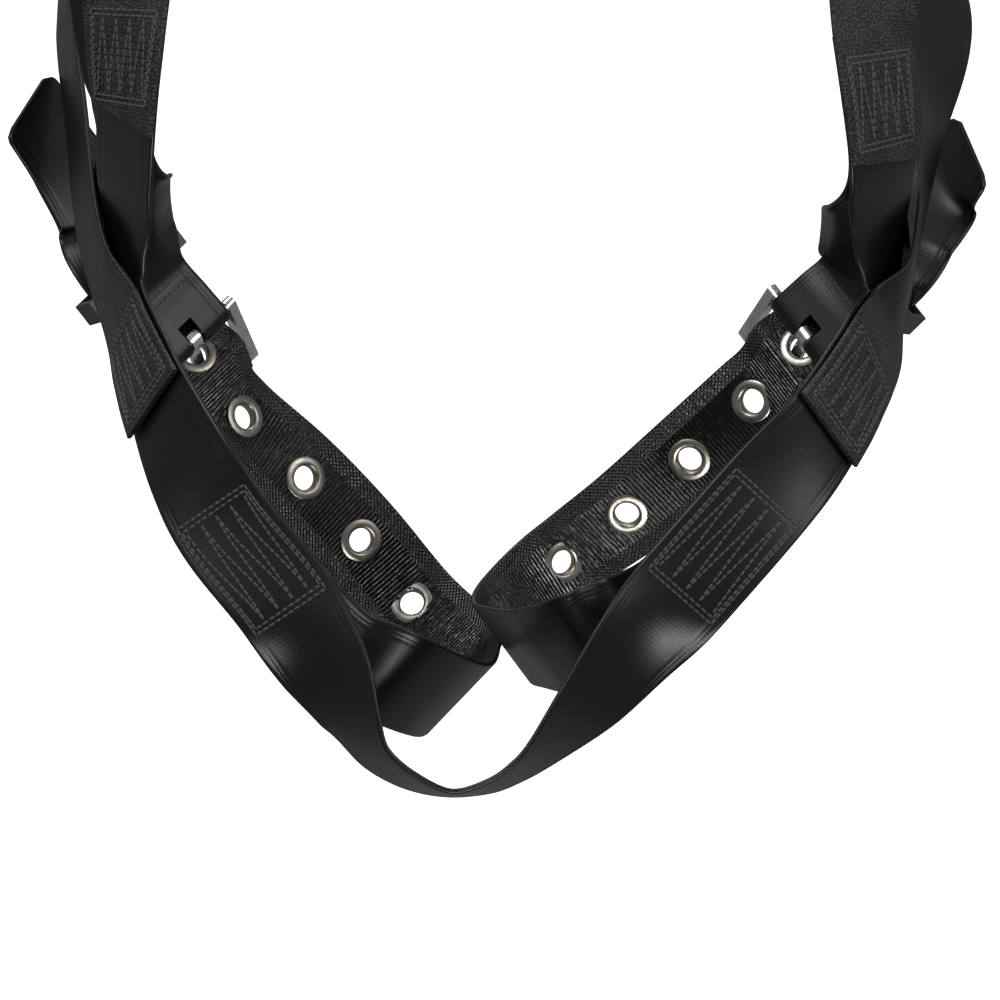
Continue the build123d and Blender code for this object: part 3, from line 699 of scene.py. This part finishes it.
# ---------------------------------------------------------------- the harness
LEG_BOX = (57.0, 36.0)      # a box of stitches, along and across the strap
STACK_BOX = (40.0, 35.0)
INNER_BOX = (40.0, 24.0)    # the same box on the wearer's side
STACK_BOX_AT = 27.0         # its middle, from the back strap's cut end
SEAM_W = 38.0               # straight rows of stitches, across the strap
FOLD_ROWS = (-27.0, -22.0)  # the hip strap's rows, from the pivot bar
END_ROWS = (5, 9, 13)       # rows across the back strap's free end, from the cut
TAIL_CORNER = 6.0           # radius of the corners of the leg strap's tail
SLOT_HALF_LEN = 15.0        # tongue's slot, each way from the pivot bar
PLAIN_AFTER = 12.0          # the ribs end this far past the last eyelet
EYELET_CUT = 7.9            # hole in the webbing, hidden under the flanges


def finish_strap(piece):
    return piece


def seat():
    """The seat strap from stack to stack, and the places others are sewn to."""
    left_end = list(reversed(STACK_LEFT)) + RISE_LEFT
    right_end = list(reversed(RISE_RIGHT)) + STACK_RIGHT
    stations = left_end + SEAT + right_end
    strap = Strap(stations)
    finish_strap(web("seat_strap", strap, SMOOTH))
    rows = frames(catmull(stations, STEPS))
    first = len(left_end) * STEPS
    last = first + (len(SEAT) - 1) * STEPS
    return strap, rows, first, last


def leg_side(side, seat_rows, leg, holes, tail, hip, hip_shift, hip_curl, stack_rows, buckle):
    """Leg strap with its eyelets and tail, and the hip strap that holds the buckle."""
    pivot, front, across = buckle
    local = Local(pivot, Vector(front) - Vector(pivot), across, (pivot[0], abs(pivot[0]), 0))
    turn = radians(HIP_TURN)
    hold = Local(pivot, local.u * cos(turn) - local.n * sin(turn), local.w, local.n)
    dive = [local.station(FRAME_LEN + 5, -4.8), local.station(FRAME_LEN - 9, -5.2),
            local.station(16.0, -5.4), local.station(9.0, 2.4), local.station(2.0, 9.2)]
    beside = [hold.station(-14, 8.4), hold.station(-26, TAIL_LIFT),
              hold.station(-KEEPER_AT - 10, TAIL_LIFT + 2.0)]
    hip_path = lifted(stack_rows, -STACK_LIFT, -hip_shift) + hip + hold.holding_fold()
    path = lifted(seat_rows, -LAYER) + leg + holes + dive + beside + tail
    strap = Strap(path)
    spots = [strap.find(h[0]) for h in holes] + [strap.find(dive[3][0])]
    piece = web(f"leg_strap_{side}", strap, SMOOTH, RIBBED, slant=TAIL_CUT, corner=TAIL_CORNER,
                holes=[(s, EYELET_CUT) for s in spots], plain_from=spots[-1] + PLAIN_AFTER)
    finish_strap(piece)

    coarse = frames(catmull(path, STEPS))
    points, faces = [], []
    for spot in [h[0] for h in holes] + [dive[3][0]]:
        middle, along, across, normal = min(coarse, key=lambda r: (r[0] - Vector(spot)).length)
        eyelet(-1, points, faces, middle, normal, along)
    ring = mesh_object(f"leg_grommets_{side}_turned", points, faces, NICKEL)
    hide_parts(f"leg_grommets_{side}")

    hip_strap = Strap(hip_path)
    peak = len(stack_rows) + 1

    def curl(s):
        near = max(0.0, 1 - abs(hip_strap.station(s) - peak) / CURL_FADE)
        return near * near * (3 - 2 * near) / hip_curl

    bar = hip_strap.find(hold.at(BAR_R + BAR_GAP + WEB_T / 2, 0, 0))
    slots = [(bar - SLOT_HALF_LEN, bar + SLOT_HALF_LEN, SLOT_W / 2)]
    finish_strap(web(f"hip_strap_{side}", hip_strap, SMOOTH, slots=slots, bend=curl))
    lines = box_lines(hip_strap.find(stack_rows[1][0]), *INNER_BOX)
    seam(f"stack_inner_stitches_{side}", hip_strap, lines, (1,))
    rows = cross_rows([hip_strap.find(hold.at(s, 0, -1.8)) for s in FOLD_ROWS], SEAM_W)
    seam(f"hip_stitches_{side}", hip_strap, rows, (1,))
    rows = cross_rows([hip_strap.find(hold.at(s, 0, 1.6)) for s in FOLD_ROWS], SEAM_W)
    seam(f"hip_fold_stitches_{side}", hip_strap, rows, (1,))
    return strap


def torso_side(side, stack_rows, front_side, front_rows, front, y_shift, end_slant):
    """Main strap from one hip over the other shoulder, and the front strap it meets."""
    back = BACK if side == "left" else mirror_x(BACK)
    back = [((p[0], p[1] - (y_shift if abs(p[0]) < 55 else 0), p[2]), w) for p, w in back]
    sign = 1 if front_side == "right" else -1
    local = Local((150 * sign, 104, 488), (-0.47 * sign, 0.12, 0.87), (0.88 * sign, 0, 0.47), (0, 1, 0))
    turn = SLIDE_R + BAR_GAP + WEB_T / 2
    past = BAR_R + BAR_GAP + WEB_T / 2
    down = [local.station(ADJ_LEN + 46, -1.9), local.station(ADJ_LEN + 26, -2.2),
            local.station(ADJ_LEN + 3, -past - 0.3)]
    wrap = []
    for k in range(9):
        a = -pi / 2 + pi * k / 8
        wrap.append(local.station(SLIDE_AT - turn * cos(a), turn * sin(a)))
    up = [local.station(ADJ_LEN + 3, past + 0.3), local.station(ADJ_LEN + 26, 2.2),
          local.station(ADJ_LEN + 46, 1.9), local.station(ADJ_LEN + 56, 3.2)]
    path = lifted(stack_rows, STACK_LIFT, BACK_SHIFT) + back + down + wrap + up
    main = Strap(path)
    finish_strap(web(f"main_strap_{side}", main, ROUGH, start=end_slant))
    lines = box_lines(STACK_BOX_AT, *STACK_BOX)
    seam(f"stack_stitches_{side}", main, lines, (1,))
    rows = cross_rows([main.length - s for s in END_ROWS], SEAM_W)
    seam(f"main_end_stitches_{side}", main, rows, (1,))

    path = lifted(front_rows, FRONT_LIFT) + front + local.fold(BAR_R, FOLD_BACK)
    strap = Strap(path)
    finish_strap(web(f"front_strap_{front_side}", strap, FADING))
    seam(f"front_stitches_{front_side}", strap, box_lines(26.0, 44.0, 36.0), (1,))
    bar = strap.find(local.at(past, 0, 0))
    seam(f"front_fold_stitches_{front_side}", strap, box_lines(bar - 24.0, 16.0, 36.0, 6), (1,))

    chest = min(main.rows, key=lambda r: abs(r[0].z - CHEST_Z) + max(0, -r[0].y))
    chest_half(front_side, sign, chest)
    return strap


CHEST = {
    "right": Local((16, CHEST_Y, CHEST_Z), (-1, 0, 0), (0, 0, 1), (0, 1, 0)),
    "left": Local((-34, CHEST_Y, CHEST_Z), (1, 0, 0), (0, 0, 1), (0, 1, 0)),
}


def chest_half(side, sign, row):
    """One half of the chest strap, sewn across the main strap."""
    middle, along, across, normal = row
    across = across if across.x * sign > 0 else -across
    up = along if along.z > 0 else -along
    run = [(tuple(middle + normal * 4.0 + across * v), tuple(up)) for v in (20, 0, -20)]
    local = CHEST[side]
    strap = Strap(run + local.fold(BAR_R, 24))
    finish_strap(web(f"chest_strap_{side}", strap, SMOOTH))
    seam(f"chest_stitches_{side}", strap, box_lines(20.0, 32.0, 36.0, 6), (1,))
    bar = strap.find(local.at(BAR_R + BAR_GAP + WEB_T / 2, 0, 0))
    seam(f"chest_fold_stitches_{side}", strap, cross_rows((bar - 24, bar - 20), SEAM_W), (1,))


def harness():
    strap, rows, first, last = seat()
    left_stack = [rows[2 * STEPS], rows[STEPS], rows[0]]
    right_stack = [rows[-1 - 2 * STEPS], rows[-1 - STEPS], rows[-1]]
    leg_side("left", rows[first + 13:first + 21:2], LEG_LEFT, HOLES_LEFT, TAIL_LEFT, HIP_LEFT,
             HIP_SHIFT_LEFT, CURL_R_LEFT, list(reversed(left_stack)), BUCKLE_LEFT)
    leg_side("right", rows[last - 15:last - 21:-1], LEG_RIGHT, HOLES_RIGHT, TAIL_RIGHT, HIP_RIGHT,
             HIP_SHIFT_RIGHT, CURL_R_RIGHT, list(reversed(right_stack)), BUCKLE_RIGHT)
    torso_side("left", left_stack, "right", rows[last - 2 * STEPS:last + 1:2], FRONT_RIGHT, 0, -6.0)
    torso_side("right", right_stack, "left", rows[first + STEPS + 1:first - 1:-2], FRONT_LEFT, LAYER, 2.0)
    for side, box_middle in (("left", (-106, -110, 102)), ("right", (99, -110, 106))):
        lines = box_lines(strap.find(box_middle), *LEG_BOX)
        seam(f"leg_box_stitches_{side}", strap, lines, (1,))
        seam(f"leg_box_inner_stitches_{side}", strap, lines, (-1,), lift=-LAYER)


# ---------------------------------------------------------------- hard parts
EDGE_R = 0.4            # softened edges


def hard_parts():
    """The CAD's own buckles, ring, plates and keepers, with softened edges."""
    finishes = {"zinc_steel": ZINC, "dull_nickel": NICKEL, "black_plastic": PLASTIC}
    for row in frame["record"]["subparts"]:
        node = frame["nodes"][row["node"]]
        if row["material_slot"] not in finishes or node.hide_render:
            continue
        node.data.materials.clear()
        node.data.materials.append(finishes[row["material_slot"]])
        bevel = node.modifiers.new("soft edge", "BEVEL")
        bevel.width = EDGE_R * MM
        bevel.segments = 2
        bevel.limit_method = "ANGLE"
        bevel.angle_limit = radians(40)


# ---------------------------------------------------------------- stage and camera
def backdrop_material():
    m = Nodes("pale backdrop")
    cloudy = m.noise(m.object_place(), 0.7, 2.0)
    m.link(m.ramp(cloudy, ((0.3, 0.90), (0.7, 0.93))), "Base Color")
    m.set(Roughness=0.9)
    m.shader.inputs["Emission Color"].default_value = (1, 1, 1, 1)
    m.shader.inputs["Emission Strength"].default_value = 1.0
    return m.material


def stage():
    """A pale floor that curves up into a backdrop behind the harness."""
    floor_z, back_y, bend = -0.55, 4.2, 1.2
    profile = [(-8.0, floor_z), (back_y - bend, floor_z)]
    profile += [(back_y - bend + bend * sin(a), floor_z + bend - bend * cos(a))
                for a in (pi / 2 * k / 12 for k in range(1, 13))]
    profile += [(back_y, 6.0)]
    points, faces = [], []
    for y, z in profile:
        points += [Vector((-9, y, z)), Vector((9, y, z))]
    for k in range(len(profile) - 1):
        a = 2 * k
        faces.append((a, a + 1, a + 3, a + 2))
    mesh = bpy.data.meshes.new("floor")
    mesh.from_pydata(points, [], faces)
    mesh.polygons.foreach_set("use_smooth", [True] * len(mesh.polygons))
    mesh.materials.append(backdrop_material())
    floor = bpy.data.objects.new("floor", mesh)
    bpy.context.scene.collection.objects.link(floor)
    floor.visible_diffuse = False
    floor.visible_glossy = False


def area_light(name, place, target, size, power):
    data = bpy.data.lights.new(name, "AREA")
    data.shape = "RECTANGLE"
    data.size, data.size_y = size
    data.energy = power
    light = bpy.data.objects.new(name, data)
    light.location = place
    light.rotation_euler = (Vector(target) - Vector(place)).to_track_quat("-Z", "Y").to_euler()
    bpy.context.scene.collection.objects.link(light)


def lights():
    middle = (0, 0, 0.2)
    area_light("key", (-1.3, -1.9, 1.7), middle, (1.0, 1.0), 45)
    area_light("fill", (1.7, -1.5, 0.9), middle, (1.2, 1.2), 25)
    area_light("top", (0, 0.3, 2.3), middle, (1.6, 1.2), 35)
    area_light("low", (0.25, -1.3, -1.2), middle, (1.2, 0.8), 45)
    world = bpy.data.worlds.new("studio")
    world.use_nodes = True
    world.node_tree.nodes["Background"].inputs["Color"].default_value = (1, 1, 1, 1)
    world.node_tree.nodes["Background"].inputs["Strength"].default_value = 0.25
    bpy.context.scene.world = world


def camera():
    data = bpy.data.cameras.new("camera")
    data.lens = 175.6
    data.sensor_width = 36.0
    data.clip_end = 50
    eye = bpy.data.objects.new("camera", data)
    eye.location = (0, -2.2, 0.128)
    eye.rotation_euler = (radians(90), 0, 0)
    bpy.context.scene.collection.objects.link(eye)
    bpy.context.scene.camera = eye
    bpy.context.scene.view_settings.view_transform = "Standard"


harness()
hard_parts()
stage()
lights()
camera()
bpy.context.view_layer.update()
